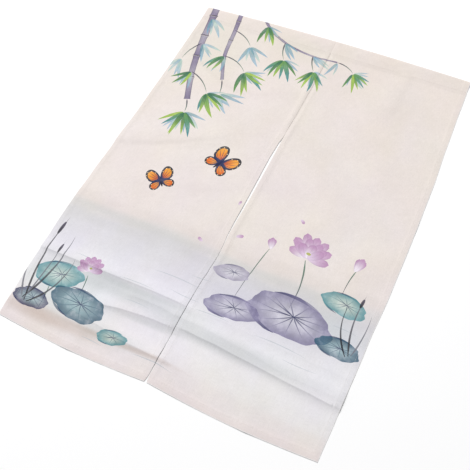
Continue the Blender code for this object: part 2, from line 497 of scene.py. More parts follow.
def srgb(red, green, blue):
    """A colour given as 0 to 255 a channel, as the linear light that a shader takes."""
    share = np.array([red, green, blue], float) / 255
    return np.where(share <= 0.04045, share / 12.92, ((share + 0.055) / 1.055) ** 2.4)


INKS = {
    "lime": srgb(160, 192, 84),
    "leaf green": srgb(102, 152, 84),
    "deep green": srgb(58, 112, 88),
    "teal": srgb(76, 144, 152),
    "deep teal": srgb(36, 88, 112),
    "sky": srgb(126, 172, 200),
    "mist green": srgb(176, 204, 190),
    "cane violet": srgb(128, 118, 146),
    "cane grey": srgb(158, 152, 168),
    "node ink": srgb(62, 54, 78),
    "pad violet": srgb(128, 122, 156),
    "pad grey": srgb(170, 164, 184),
    "pad mist": srgb(196, 194, 208),
    "navy": srgb(40, 48, 92),
    "black ink": srgb(34, 34, 42),
    "grey ink": srgb(112, 112, 122),
    "ripple": srgb(186, 192, 198),
    "petal mauve": srgb(186, 144, 182),
    "petal lilac": srgb(224, 206, 226),
    "petal white": srgb(242, 236, 242),
    "pod": srgb(176, 178, 84),
    "orange": srgb(228, 112, 42),
    "amber": srgb(240, 166, 60),
    "cream": srgb(244, 226, 186),
    # Grey of the print's mist, also painted as shade along the packing creases
    "mist grey": srgb(178, 184, 184),
    # Sand of the print's warm ground, also painted as shade along the lowest crease
    "sand shade": srgb(196, 178, 168),
    "wash violet": srgb(178, 178, 200),
    "wash teal": srgb(158, 190, 190),
    "wash green": srgb(196, 208, 176),
}

KINDS = ("leaf", "cane", "pad", "petal", "wing", "brush", "wash")

# The outer share of a wash that fades, and how far each shape's streaks lie from the last one's
WASH_FADE = 0.85
STREAK_STEP = 0.618


def line_between(start, end, bend, steps):
    """A line that bows aside by a share of its length."""
    start, end = np.array(start, float), np.array(end, float)
    run = end - start
    middle = (start + end) / 2 + np.array([-run[1], run[0]]) * bend * 2
    t = np.linspace(0, 1, steps + 1)[:, None]
    return (1 - t) ** 2 * start + 2 * t * (1 - t) * middle + t**2 * end


def left_of(line):
    """Which way is left of a line, at each of its points."""
    heading = np.gradient(line, axis=0)
    heading /= np.hypot(*heading.T)[:, None]
    return np.stack([-heading[:, 1], heading[:, 0]], 1)


def turned(degrees):
    """The matrix that turns rows of points by an angle."""
    lean = math.radians(degrees)
    return np.array([[math.cos(lean), math.sin(lean)], [-math.sin(lean), math.cos(lean)]])


def painted(kind, outline, lines, place, inks, cover):
    """A painted shape. Its place gives the share of the way along and across it."""
    return {"kind": kind, "outline": outline, "lines": lines, "place": place,
            "inks": [INKS[name] for name in inks], "cover": cover}


def stroke(kind, line, half_widths, inks, cover=(1.0, 1.0)):
    """A painted shape along a line, with a half width at each of its points."""
    line = np.array(line, float)
    aside = left_of(line) * np.array(half_widths)[:, None]
    outline = np.concatenate([line + aside, (line - aside)[::-1]])
    run = run_along(line)

    def place(points):
        """Share of the way along, and signed share of the way across, of these points."""
        best = np.full(len(points), 1e9)
        along, across = np.zeros(len(points)), np.zeros(len(points))
        for i in range(len(line) - 1):
            step = line[i + 1] - line[i]
            length = max(np.hypot(*step), 1e-6)
            away = points - line[i]
            t = np.clip(away @ step / length**2, 0, 1)
            gap = away - t[:, None] * step
            distance = np.hypot(*gap.T)
            nearer = distance < best
            side = np.sign(step[0] * away[:, 1] - step[1] * away[:, 0])
            width = half_widths[i] + (half_widths[i + 1] - half_widths[i]) * t
            best = np.where(nearer, distance, best)
            along = np.where(nearer, (run[i] + t * length) / run[-1], along)
            across = np.where(nearer, side * distance / np.maximum(width, 0.05), across)
        return along, np.clip(across, -1, 1)

    lines = [line] if max(half_widths) > 1.2 else []
    return painted(kind, outline, lines, place, inks, cover)


def blob(kind, centre, radii, inks, cover=(1.0, 1.0), turn=0.0, squash=1.0, rings=()):
    """A painted shape round a centre, with a radius at each of its even angles."""
    centre = np.array(centre, float)
    radii = np.array(radii, float)
    angle = np.arange(len(radii)) / len(radii) * 2 * math.pi
    spin = turned(turn)
    flat = np.stack([np.cos(angle), np.sin(angle) * squash], 1)

    def ring(share):
        return centre + (flat * radii[:, None] * share) @ spin

    def place(points):
        away = (points - centre) @ spin.T / np.array([1, squash])
        at = np.arctan2(away[:, 1], away[:, 0]) % (2 * math.pi)
        rim = np.interp(at, np.append(angle, 2 * math.pi), np.append(radii, radii[0]))
        return np.clip(np.hypot(*away.T) / rim, 0, 1), at / math.pi - 1

    lines = [np.concatenate([ring(share), ring(share)[:1]]) for share in rings]
    return painted(kind, ring(1.0), lines, place, inks, cover)


def tapered(kind, base, tip, width, bend, steps, swell, narrow, inks, cover):
    """A stroke that swells from its base and narrows to its tip, by these two powers."""
    t = np.linspace(0, 1, steps + 1)
    profile = t**swell * (1 - t) ** narrow
    line = line_between(base, tip, bend, steps)
    return stroke(kind, line, width / 2 * profile / profile.max(), inks, cover)


def leaf(base, tip, width, bend, inks, cover=(0.95, 1.0)):
    """A long pointed leaf, broadest a third of the way along."""
    return tapered("leaf", base, tip, width, bend, LEAF_STEPS, 0.5, 0.95, inks, cover)


def petal(base, tip, width, bend, inks, cover=(0.9, 1.0)):
    """A cupped petal with a short point."""
    return tapered("petal", base, tip, width, bend, PETAL_STEPS, 0.6, 0.42, inks, cover)


def sweep(start, end, bend, width, inks, cover=(1.0, 0.85), kind="brush", steps=14):
    """A brush stroke that swells after its start and runs out to a point."""
    line = line_between(start, end, bend, steps)
    t = np.linspace(0, 1, steps + 1)
    profile = (0.35 + 0.65 * smooth(t / 0.18)) * (1 - t) ** 0.6
    return stroke(kind, line, width / 2 * profile, inks, cover)


def toward(point, heading, length):
    angle = math.radians(heading)
    return point[0] + length * math.cos(angle), point[1] + length * math.sin(angle)


CANES = (
    # width at the top, at the foot, length of a joint, points down the cane
    (23, 17, 96, ((-404, 640), (-392, 540), (-376, 430), (-350, 315), (-312, 212))),
    (15, 10, 84, ((-322, 640), (-304, 520), (-288, 410), (-252, 318))),
    (10, 5, 70, ((-262, 640), (-214, 572), (-140, 528), (-44, 508), (34, 512))),
)
TWIGS = (
    # start, end, bow
    ((-312, 212), (-296, 168), 0.05),
    ((-350, 315), (-272, 256), 0.10),
    ((-376, 430), (-404, 352), -0.08),
    ((-288, 410), (-206, 372), 0.12),
    ((-304, 520), (-232, 474), 0.10),
    ((-252, 318), (-236, 268), 0.04),
    ((-140, 528), (-118, 462), -0.08),
    ((-44, 508), (-20, 452), -0.06),
    ((34, 512), (92, 488), 0.10),
)
LEAF_FANS = (
    # x, y, heading, spread, leaves, length, inks: 0 near, 1 far
    (-404, 352, -96, 62, 4, 88, 1),
    (-372, 432, -40, 66, 4, 80, 1),
    (-392, 540, -60, 60, 4, 84, 1),
    (-296, 168, -84, 108, 7, 104, 0),
    (-350, 315, -118, 50, 3, 92, 0),
    (-272, 256, -48, 96, 6, 92, 0),
    (-236, 268, -20, 70, 4, 84, 1),
    (-206, 372, -46, 92, 6, 92, 0),
    (-288, 410, -112, 50, 3, 86, 0),
    (-232, 474, -58, 84, 5, 84, 1),
    (-214, 572, -70, 70, 4, 82, 0),
    (-118, 462, -82, 104, 6, 90, 0),
    (-140, 528, -40, 60, 3, 78, 1),
    (-20, 452, -88, 96, 6, 86, 0),
    (-44, 508, -34, 52, 3, 74, 1),
    (92, 488, -52, 104, 6, 80, 0),
    (34, 512, -100, 40, 2, 70, 1),
)
NEAR_LEAF_INKS = (
    ("leaf green", "lime"),
    ("deep green", "leaf green"),
    ("lime", "lime"),
    ("leaf green", "teal"),
    ("deep green", "lime"),
)
FAR_LEAF_INKS = (("sky", "mist green"), ("teal", "sky"), ("mist green", "sky"))

PADS = (
    # x, y, radius, squash, turn, inks at the middle and the rim, veins
    (54, -246, 46, 0.46, 8, ("pad mist", "pad grey"), 9),
    (338, -218, 58, 0.48, -8, ("mist green", "teal"), 10),
    (232, -300, 108, 0.50, -5, ("pad mist", "pad violet"), 14),
    (98, -334, 70, 0.44, 5, ("pad mist", "pad violet"), 11),
    (366, -326, 54, 0.46, -3, ("teal", "deep teal"), 10),
    (-338, -430, 66, 0.54, 12, ("mist green", "teal"), 10),
    (-250, -482, 78, 0.50, -5, ("teal", "deep teal"), 11),
    (-372, -516, 50, 0.52, 4, ("teal", "navy"), 9),
    (-128, -524, 40, 0.44, 6, ("mist green", "teal"), 8),
)
STEMS = (
    # start, end, bow, width
    ((206, -142), (222, -284), 0.05, 4.6),
    ((331, -118), (322, -200), -0.04, 3.2),
    ((112, -148), (92, -322), -0.04, 3.0),
    ((-268, -402), (-262, -470), 0.05, 3.0),
    ((-346, -462), (-340, -540), 0.03, 3.0),
)
BLOSSOMS = (
    # x, y, size, turn
    (206, -128, 100, -6),
    (-270, -386, 64, 12),
)
BUDS = (
    # x, y, size, turn
    (331, -104, 44, -12),
    (111, -132, 35, 14),
)
BUTTERFLIES = (
    # x, y, wing length, heading of the body
    (-118, 44, 58, 62),
    (-238, -72, 50, 128),
)
REEDS = (
    # foot x, foot y, heading, length, width, bow, inks, width of its seed head
    (-394, -526, 80, 216, 7.0, -0.07, ("black ink", "grey ink"), 0),
    (-385, -531, 93, 262, 6.4, 0.05, ("black ink", "black ink"), 9),
    (-397, -522, 101, 144, 5.6, 0.10, ("grey ink", "grey ink"), 0),
    (-378, -531, 70, 168, 6.0, -0.12, ("black ink", "grey ink"), 0),
    (-389, -528, 85, 194, 4.6, -0.02, ("grey ink", "grey ink"), 7),
    (394, -334, 96, 164, 5.4, 0.06, ("black ink", "grey ink"), 8),
    (388, -338, 108, 132, 5.0, 0.10, ("black ink", "black ink"), 0),
    (399, -331, 86, 116, 4.2, -0.05, ("grey ink", "grey ink"), 0),
)
WATER_LINES = (
    # x, y, length, width, bow
    (-120, -318, 132, 2.4, 0.03),
    (-60, -350, 84, 1.8, -0.03),
    (-190, -372, 96, 2.0, 0.02),
    (20, -374, 90, 2.0, 0.02),
    (178, -376, 132, 2.2, 0.03),
    (-30, -294, 52, 1.8, -0.02),
    (-64, -540, 108, 2.2, 0.02),
    (-150, -420, 70, 1.8, 0.03),
    (262, -404, 84, 1.8, -0.02),
    (330, -276, 66, 1.8, 0.02),
    (-200, -548, 60, 2.0, 0.02),
    (-330, -358, 74, 1.8, 0.02),
)
WASHES = (
    # x, y, radius, squash, ink, cover
    (-230, -216, 300, 0.070, "mist grey", 0.20),
    (190, -222, 290, 0.060, "mist grey", 0.16),
    # These mist bands lie along the packing creases: painted crease shade, and partly misty water in
    # the print
    (-170, -404, 330, 0.110, "mist grey", 0.46),
    (150, -432, 350, 0.085, "mist grey", 0.34),
    (-160, -388, 300, 0.040, "mist grey", 0.30),
    (-70, -456, 130, 0.100, "mist grey", 0.30),
    (-280, -538, 250, 0.110, "sand shade", 0.56),
    (-352, -550, 130, 0.240, "sand shade", 0.40),
    # Painted shade along the lowest crease, and partly a brown line in the print
    (-110, -530, 250, 0.040, "sand shade", 0.60),
    (-330, 430, 190, 0.80, "wash green", 0.14),
    (-70, 520, 150, 0.42, "wash green", 0.12),
    (216, -300, 226, 0.46, "wash violet", 0.22),
    (80, -320, 150, 0.40, "wash violet", 0.14),
    (-300, -470, 190, 0.44, "wash teal", 0.26),
    (352, -292, 110, 0.60, "wash teal", 0.16),
    (-130, -524, 120, 0.30, "wash teal", 0.12),
)
LOOSE_PETALS = (
    # x, y, heading, length
    (20, -150, 24, 20),
    (-52, -196, 152, 17),
    (148, -36, -38, 16),
    (-12, -60, 80, 14),
)
FOREWING = (
    # angle from the body's heading, reach
    (4, 0.30),
    (14, 0.66),
    (24, 0.93),
    (36, 1.02),
    (50, 0.96),
    (66, 0.80),
    (84, 0.60),
    (98, 0.36),
)
HINDWING = (
    # angle from the body's heading, reach
    (88, 0.36),
    (100, 0.62),
    (114, 0.74),
    (130, 0.76),
    (144, 0.66),
    (156, 0.48),
    (168, 0.26),
)


def wash(x, y, radius, squash, ink, cover, chance):
    """A soft-edged tint: its cover fades out over the outer part of the shape."""
    angle = np.arange(40) / 40 * 2 * math.pi
    lobes = [chance.uniform(0, 6.28) for _ in range(4)]
    wander = sum(
        0.075 / (i + 1) * np.sin((i + 2) * angle + begin) for i, begin in enumerate(lobes)
    )
    rings = (0.15, 0.3, 0.45, 0.6, 0.72, 0.84, 0.93)
    return blob("wash", (x, y), radius * (1 + wander), (ink, ink), (cover, 0.0),
                squash=squash, rings=rings)


def cane(width_top, width_foot, joint, points):
    """A jointed cane: its joints' dark rings, and the pale lengths between them."""
    line = catmull(points, 16)
    run = run_along(line)
    count = max(round(run[-1] / joint), 1)
    made = []

    def spot(at):
        return np.stack([np.interp(at, run, line[:, k]) for k in (0, 1)], -1)

    def width(at):
        return width_top + (width_foot - width_top) * at / run[-1]

    for i in range(count):
        start, end = run[-1] * i / count, run[-1] * (i + 1) / count
        at = np.linspace(start + 1.6, end - 1.6, 12)
        flare = 1 + 0.16 * np.exp(-(((at - start) / 7) ** 2)) + 0.16 * np.exp(-(((end - at) / 7) ** 2))
        inks = ("cane violet", "cane grey") if i % 2 else ("cane grey", "cane violet")
        made.append(stroke("cane", spot(at), width(at) * flare / 2, inks, (0.96, 0.96)))
        if i:
            here, on = spot(start), spot(start + 3)
            heading = (on - here) / np.hypot(*(on - here))
            aside = np.array([-heading[1], heading[0]])
            half = width(start) * 0.66
            ring = line_between(here - aside * half, here + aside * half, 0.05, 8)
            profile = 0.4 + 0.6 * np.sin(np.linspace(0.15, math.pi - 0.15, 9))
            made.append(stroke("brush", ring, profile * max(1.3, half * 0.15),
                               ("node ink", "node ink"), (0.95, 0.95)))
    return made


def leaf_fan(x, y, heading, spread, count, length, far, chance):
    """A spray of leaves from one place."""
    made = []
    for i in range(count):
        share = (i + 0.5) / count - 0.5
        angle = heading + spread * share + chance.uniform(-7, 7)
        reach = length * chance.uniform(0.72, 1.08) * (1 - 0.25 * abs(share))
        bend = chance.uniform(-0.03, 0.07) * (1 if share > 0 else -1)
        width = reach * chance.uniform(0.125, 0.165)
        base = toward((x, y), angle, 3)
        inks = chance.choice(FAR_LEAF_INKS if far else NEAR_LEAF_INKS)
        cover = (0.62, 0.8) if far else (0.92, 1.0)
        made.append(leaf(base, toward(base, angle, reach), width, bend, inks, cover))
    chance.shuffle(made)
    return made


def pad(x, y, radius, squash, turn, inks, veins, chance):
    """A floating round leaf: a wavy rim, and veins from a hub that lies off its middle."""
    angle = np.arange(56) / 56 * 2 * math.pi
    begin = [chance.uniform(0, 6.28) for _ in range(3)]
    rim = 1 + 0.05 * np.sin(3 * angle + begin[0]) + 0.035 * np.sin(7 * angle + begin[1])
    rim += 0.02 * np.sin(13 * angle + begin[2])
    body = blob("pad", (x, y), radius * rim, inks, (0.50, 0.88), turn, squash,
                rings=(0.25, 0.5, 0.75, 0.9))
    lean = math.radians(turn)
    made = [body]
    hub = (x + 0.10 * radius * math.cos(lean), y + 0.10 * radius * squash)
    for i in range(veins):
        at = 2 * math.pi * (i + chance.uniform(-0.18, 0.18)) / veins
        out_x, out_y = math.cos(at) * radius * 0.88, math.sin(at) * radius * 0.88 * squash
        tip = (x + out_x * math.cos(lean) - out_y * math.sin(lean),
               y + out_x * math.sin(lean) + out_y * math.cos(lean))
        bend = chance.uniform(-0.05, 0.05)
        made.append(sweep(hub, tip, bend, max(radius * 0.030, 1.7), ("navy", inks[1]),
                          (0.85, 0.45)))
    curl = (inks[1], "navy")
    for begin_at, length in ((0.9, 1.3), (3.6, 1.0)):
        arc = begin_at + np.linspace(0, length, 14)
        out = np.stack([np.cos(arc), np.sin(arc) * squash], 1) * radius * 0.985
        edge = np.array([x, y]) + out @ turned(turn)
        profile = np.sin(np.linspace(0.05, math.pi - 0.05, 14)) * radius * 0.035 + 0.25
        made.append(stroke("brush", edge, profile, curl, (0.7, 0.8)))
    return made


def blossom(x, y, size, turn, chance):
    """An open flower: three rows of petals round a pod, each row nearer than the last."""
    made = []
    rows = (
        # petals, spread, length, width, lift
        (5, 118, 0.62, 0.25, 0.02),
        (6, 196, 0.56, 0.23, -0.04),
        (3, 84, 0.46, 0.25, -0.08),
    )
    for row, (count, spread, length, width, lift) in enumerate(rows):
        for i in range(count):
            share = (i / (count - 1)) - 0.5
            heading = 90 + turn - spread * share
            base = (x, y + lift * size)
            reach = size * length * chance.uniform(0.93, 1.05)
            if row == 1 and abs(share) > 0.3:
                heading += 14 if share > 0 else -14
            inks = ("petal white", "petal mauve") if (i + row) % 2 else ("petal lilac", "petal mauve")
            shape = petal(base, toward(base, heading, reach), size * width, 0.05 * -share, inks,
                          (0.9, 0.96))
            made.append(shape)
            edge = line_between(base, toward(base, heading, reach * 0.94), 0.05 * -share, 8)
            made.append(stroke("brush", edge, np.linspace(0.25, 0.7, 9), ("petal mauve", "petal mauve"),
                               (0.15, 0.55)))
    pod_radii = np.full(16, size * 0.062)
    made.append(blob("petal", (x, y + 0.06 * size), pod_radii, ("pod", "pod"), (0.9, 0.9),
                     turn, 0.62))
    return made


def bud(x, y, size, turn):
    """A closed flower: two outer petals with a third between them."""
    base = toward((x, y), 90 + turn, -size * 0.45)
    made = []
    for lean, ink in ((-15, "petal lilac"), (15, "petal lilac"), (0, "petal white")):
        tip = toward(base, 90 + turn + lean, size * (0.88 if lean else 1.0))
        made.append(petal(base, tip, size * 0.40, -lean * 0.004, (ink, "petal mauve")))
    return made


def wing_outline(table, root, heading, side, length, share):
    """A wing's rim about its root. The share makes a smaller one inside it."""
    points = [(0.0, 0.0)]
    for angle, reach in table:
        at = math.radians(angle)
        points.append((math.cos(at) * reach, math.sin(at) * reach * side))
    points.append((0.0, 0.0))
    rim = catmull(points, 4)[:-1]
    middle = rim.mean(axis=0)
    rim = middle + (rim - middle) * share
    return np.array(root) + rim @ turned(heading) * length


def shape_from(kind, outline, inks, cover):
    """A painted shape from a closed outline, measured from its first point."""
    centre = outline[0]
    far = np.hypot(*(outline - centre).T).max()
    axis = outline.mean(axis=0) - centre
    axis /= max(np.hypot(*axis), 1e-6)

    def place(points):
        away = points - centre
        return (np.clip(np.hypot(*away.T) / far, 0, 1),
                np.clip((axis[0] * away[:, 1] - axis[1] * away[:, 0]) / far * 2, -1, 1))

    return painted(kind, outline, [], place, inks, cover)


def butterfly(x, y, length, heading):
    """Navy wings with orange panes, pale dots along their rims, a dark body and feelers."""
    made = []
    for table, panes in ((HINDWING, ("amber", "orange")), (FOREWING, ("orange", "amber"))):
        for side in (1, -1):
            rim = wing_outline(table, (x, y), heading, side, length, 1.0)
            made.append(shape_from("wing", rim, ("navy", "black ink"), (0.96, 0.96)))
            pane = wing_outline(table, (x, y), heading, side, length, 0.70)
            made.append(shape_from("wing", pane, panes, (0.98, 0.98)))
            for angle, reach in table[1:-1]:
                at = heading + angle * side
                tip = toward((x, y), at, length * reach * 0.96)
                made.append(sweep((x, y), tip, 0.03 * side, 2.2, ("navy", "navy"), (0.9, 0.9),
                                  steps=8))
                dot = toward((x, y), at + 5 * side, length * reach * 0.905)
                made.append(blob("wing", dot, np.full(10, length * 0.026), ("cream", "cream"),
                                 (0.9, 0.9)))
    tail = toward((x, y), heading + 180, length * 0.42)
    head = toward((x, y), heading, length * 0.26)
    t = np.linspace(0, 1, 13)
    body = length * 0.052 * np.sin(math.pi * t**0.8) ** 0.6 + 0.2
    made.append(stroke("wing", line_between(tail, head, 0.0, 12), body, ("black ink", "navy")))
    for side in (1, -1):
        feeler = toward(head, heading + 24 * side, length * 0.42)
        made.append(sweep(head, feeler, 0.08 * side, 1.4, ("black ink", "black ink"), (0.9, 0.7)))
    return made


def drawn_print():
    """Every painted shape, from the first laid down to the last."""
    chance = random.Random(41)
    made = [wash(*row, chance) for row in WASHES]
    for row in CANES:
        made += cane(*row)
    for start, end, bend in TWIGS:
        made.append(sweep(start, end, bend, 4.6, ("node ink", "deep green"), (0.9, 0.9)))
    for far in (1, 0):
        for row in LEAF_FANS:
            if far and not row[6]:
                x, y, heading, spread, leaves, length, _ = row
                made += leaf_fan(x, y, heading + 20, spread * 1.2, leaves, length * 0.8, 1, chance)
            if row[6] == far:
                made += leaf_fan(*row, chance)
    for x, y, length, width, bend in WATER_LINES:
        line = line_between((x, y), (x + length, y + chance.uniform(-4, 4)), bend, 16)
        profile = np.sin(np.linspace(0.02, math.pi - 0.02, 17)) * width / 2 + 0.15
        made.append(stroke("brush", line, profile, ("ripple", "ripple"), (0.75, 0.6)))
    for start, end, bend, width in STEMS:
        made.append(sweep(start, end, bend, width, ("deep green", "node ink"), (0.85, 0.9)))
    for row in PADS:
        made += pad(*row, chance)
    for row in BLOSSOMS:
        made += blossom(*row, chance)
    for row in BUDS:
        made += bud(*row)
    for x, y, heading, length in LOOSE_PETALS:
        made.append(petal((x, y), toward((x, y), heading, length), length * 0.5, 0.08,
                          ("petal lilac", "petal mauve")))
    for row in BUTTERFLIES:
        made += butterfly(*row)
    for x, y, heading, length, width, bend, inks, seed_head in REEDS:
        tip = toward((x, y), heading, length)
        made.append(sweep((x, y), tip, bend, width, inks, (0.95, 0.75), steps=18))
        if seed_head:
            line = line_between((x, y), tip, bend, 40)[31:38]
            profile = seed_head / 2 * np.sin(np.linspace(0.12, math.pi - 0.12, 7)) ** 0.4
            made.append(stroke("brush", line, profile, ("black ink", "node ink"), (0.9, 0.9)))
    for shape in made:
        shape["outline"] = shape["outline"] / 1000
        shape["lines"] = [line / 1000 for line in shape["lines"]]
    return made


# Meshes of the cloth


def spaced(start, end, step):
    return np.linspace(start, end, max(round(abs(end - start) / step), 1) + 1)


def rectangle(x0, x1, y0, y1, step):
    """The closed rim of a rectangle, with a point at each step."""
    xs, ys = spaced(x0, x1, step), spaced(y0, y1, step)
    return np.concatenate([
        np.stack([xs[:-1], np.full(len(xs) - 1, y0)], 1),
        np.stack([np.full(len(ys) - 1, x1), ys[:-1]], 1),
        np.stack([xs[::-1][:-1], np.full(len(xs) - 1, y1)], 1),
        np.stack([np.full(len(ys) - 1, x0), ys[::-1][:-1]], 1),
    ])


def straight(start, end, step=GRID):
    start, end = np.array(start, float), np.array(end, float)
    count = max(round(np.hypot(*(end - start)) / step), 1)
    t = np.linspace(0, 1, count + 1)[:, None]
    return start + (end - start) * t


def cut_flat(rim, loose, lines, rings):
    """Triangles inside a closed rim, with an edge along each line and ring that crosses it."""
    points, edges = [], []

    def add(line, closed):
        first, count = len(points), len(line)
        points.extend(map(tuple, line.tolist()))
        edges.extend((first + i, first + i + 1) for i in range(count - 1))
        if closed:
            edges.append((first + count - 1, first))

    low, high = rim.min(axis=0), rim.max(axis=0)
    add(rim, True)
    for line, closed in [(line, False) for line in lines] + [(ring, True) for ring in rings]:
        if (line.max(axis=0) > low).all() and (line.min(axis=0) < high).all():
            add(line, closed)
    points.extend(map(tuple, loose.tolist()))
    cut = delaunay_2d_cdt([Vector(point) for point in points], edges, [], 0, 1e-6, False)
    flat = np.array([tuple(vert) for vert in cut[0]])
    faces = np.array(cut[2])
    middle = flat[faces].mean(axis=1)
    faces = faces[((middle > low) & (middle < high)).all(axis=1)]
    a, b, c = (flat[faces[:, i]] for i in range(3))
    ab, ac = b - a, c - a
    face_down = ab[:, 0] * ac[:, 1] < ab[:, 1] * ac[:, 0]
    faces[face_down] = faces[face_down][:, ::-1]
    return flat, faces


def within(outline, points):
    """Which points lie inside a closed outline."""
    inside = np.zeros(len(points), bool)
    for (ax, ay), (bx, by) in zip(outline, np.roll(outline, -1, axis=0)):
        if ay == by:
            continue
        crosses = (ay > points[:, 1]) != (by > points[:, 1])
        inside ^= crosses & (points[:, 0] < ax + (points[:, 1] - ay) * (bx - ax) / (by - ay))
    return inside


def print_on(flat, faces, shapes):
    """Ink, its place in the shape, and the kind of shape on each face of a flat mesh."""
    corners = flat[faces]
    middle = corners.mean(axis=1)
    ink = np.zeros((len(faces), 3, 4))
    place = np.zeros((len(faces), 3, 3))
    kind = np.zeros(len(faces), int)
    for number, shape in enumerate(shapes):
        low, high = shape["outline"].min(axis=0), shape["outline"].max(axis=0)
        near = np.nonzero(((middle > low) & (middle < high)).all(axis=1))[0]
        hit = near[within(shape["outline"], middle[near])]
        if not len(hit):
            continue
        along, across = shape["place"](corners[hit].reshape(-1, 2) * 1000)
        along, across = along.reshape(-1, 3), across.reshape(-1, 3)
        if shape["kind"] == "wash":
            cover = shape["cover"][0] * smooth((1 - along) / WASH_FADE)
        else:
            cover = shape["cover"][0] + (shape["cover"][1] - shape["cover"][0]) * along
        first, last = shape["inks"]
        colour = first + (last - first) * smooth(along)[..., None]
        under = ink[hit]
        total = cover + under[..., 3] * (1 - cover)
        share = (cover / np.maximum(total, 1e-6))[..., None]
        ink[hit] = np.concatenate(
            [under[..., :3] * (1 - share) + colour * share, total[..., None]], -1
        )
        seed = np.full(along.shape, (number * STREAK_STEP) % 1)
        place[hit] = np.stack([along, across, seed], -1)
        kind[hit] = KINDS.index(shape["kind"]) + 1
    return ink, place, kind


def surface_normals(shape_of, side, flat, layer):
    """The cloth's own normals at its points, from its shape a little to each side."""
    step = 0.0004
    x, y = flat[:, 0], flat[:, 1]
    across = shape_of(side, x + step, y, layer) - shape_of(side, x - step, y, layer)
    along = shape_of(side, x, y + step, layer) - shape_of(side, x, y - step, layer)
    normal = np.cross(across, along)
    normal /= np.maximum(np.linalg.norm(normal, axis=1), 1e-12)[:, None]
    return normal if layer > 0 else -normal


def rim_edges(faces):
    """Edges that only one face uses, each in the direction of that face."""
    edges = np.concatenate([faces[:, [0, 1]], faces[:, [1, 2]], faces[:, [2, 0]]])
    known = {(a, b) for a, b in edges.tolist()}
    return [(a, b) for a, b in edges.tolist() if (b, a) not in known]


def make_cloth(name, side, shape_of, flat, faces, materials, shapes=()):
    """A piece of cloth with a face, a back and a rim. The flat mesh is laid in its shape."""
    used, faces = np.unique(faces, return_inverse=True)
    flat, faces = flat[used], faces.reshape(-1, 3)
    count = len(flat)
    x, y = flat[:, 0], flat[:, 1]
    verts = np.concatenate([shape_of(side, x, y, 1), shape_of(side, x, y, 0)])
    rim = [(b, a, a + count, b + count) for a, b in rim_edges(faces)]
    back = faces[:, ::-1] + count
    mesh = bpy.data.meshes.new(name)
    mesh.from_pydata(verts.tolist(), [], faces.tolist() + back.tolist() + rim)
    plane = np.concatenate([flat[faces.ravel()], flat[back.ravel() - count],
                            flat[[i % count for quad in rim for i in quad]]])
    mesh.uv_layers.new(name="plane").uv.foreach_set("vector", plane.astype(np.float32).ravel())
    ink, place, kind = print_on(flat, faces, shapes)
    for label, form, field, values in (("ink", "FLOAT_COLOR", "color", ink),
                                       ("brush_place", "FLOAT_VECTOR", "vector", place)):
        size = values.shape[-1]
        every = np.concatenate([values.reshape(-1, size), values[:, ::-1].reshape(-1, size),
                                np.zeros((len(rim) * 4, size))])
        stored = mesh.attributes.new(label, form, "CORNER")
        stored.data.foreach_set(field, every.astype(np.float32).ravel())
    for material in materials:
        mesh.materials.append(material)
    last = len(materials) - 1
    slots = np.concatenate([np.minimum(kind, last), np.full(len(back), last), np.full(len(rim), last)])
    mesh.polygons.foreach_set("material_index", slots.astype(np.int32))
    mesh.shade_smooth()
    normals = np.concatenate([surface_normals(shape_of, side, flat, layer) for layer in (1, 0)])
    mesh.normals_split_custom_set_from_vertices(normals.tolist())
    return new_object(name, mesh)


def sided(name, side):
    return name + ("_left" if side < 0 else "_right")


def panel_span(side):
    """Where a flat panel begins and ends across the plane."""
    return (-PANEL, 0.0) if side < 0 else (0.0, PANEL)


def hem_lines(side, depths):
    """Lines that run round a panel's three hemmed sides, each at its distance inside them."""
    x0, x1 = panel_span(side)
    made = []
    for depth in depths:
        foot = FOOT + depth * BOTTOM_HEM / HEM_WIDTH
        corners = ((x0 + depth, PANEL_TOP), (x0 + depth, foot),
                   (x1 - depth, foot), (x1 - depth, PANEL_TOP))
        made += [straight(a, b) for a, b in zip(corners, corners[1:])]
    return made


# Rows of points beside a crease, in mm, and beside a pressed line, in shares of its reach
CREASE_ROWS = (5, 2, 0.7, 0, -0.7, -2, -4, -7, -11, -16, -22)
PRESSED_ROWS = (-1.3, -0.85, -0.42, 0, 0.42, 0.85, 1.3)


def crease_lines(side):
    """Close rows of points along each crease and pressed line, which keep it crisp in the mesh."""
    rows = [(points, CREASE_ROWS) for _, _, _, points in CREASES]
    rows += [(points, np.array(PRESSED_ROWS) * reach) for _, reach, points in PRESSED_LINES]
    made = []
    for points, offsets in rows:
        corners = np.array(points, float) / 1000
        line = np.concatenate([straight(a, b)[:-1] for a, b in zip(corners, corners[1:])]
                              + [corners[-1:]])
        aside = left_of(line) / 1000
        made += [flat_place(side, *(line + aside * offset).T) for offset in offsets]
    return made


def grid_points(x0, x1, ys):
    """Loose points in staggered rows."""
    found = []
    for i, y in enumerate(ys):
        xs = spaced(x0, x1, GRID)[:-1] + (GRID / 2 if i % 2 else 0.001)
        found.append(np.stack([xs, np.full(len(xs), y)], 1))
    return np.concatenate(found)


# How far inside the hemmed edges the meshes have lines: the cloth's, and its turned-under part's
HEM_DEPTHS = (0.0003, 0.0006, 0.0009, 0.0110, 0.0122, 0.0132, 0.0142, 0.0154, 0.0166, 0.0178, 0.0190)
HEM_CLOTH_DEPTHS = (HEM_SET_IN, 0.0006, 0.0009, 0.005, 0.010, 0.0140, 0.0145, HEM_WIDTH)

# Lines in the sleeve's mesh beside the groove over the seam, in mm
GROOVE_ROWS = (-1.8, -0.9, 0.0, 0.9, 1.8)


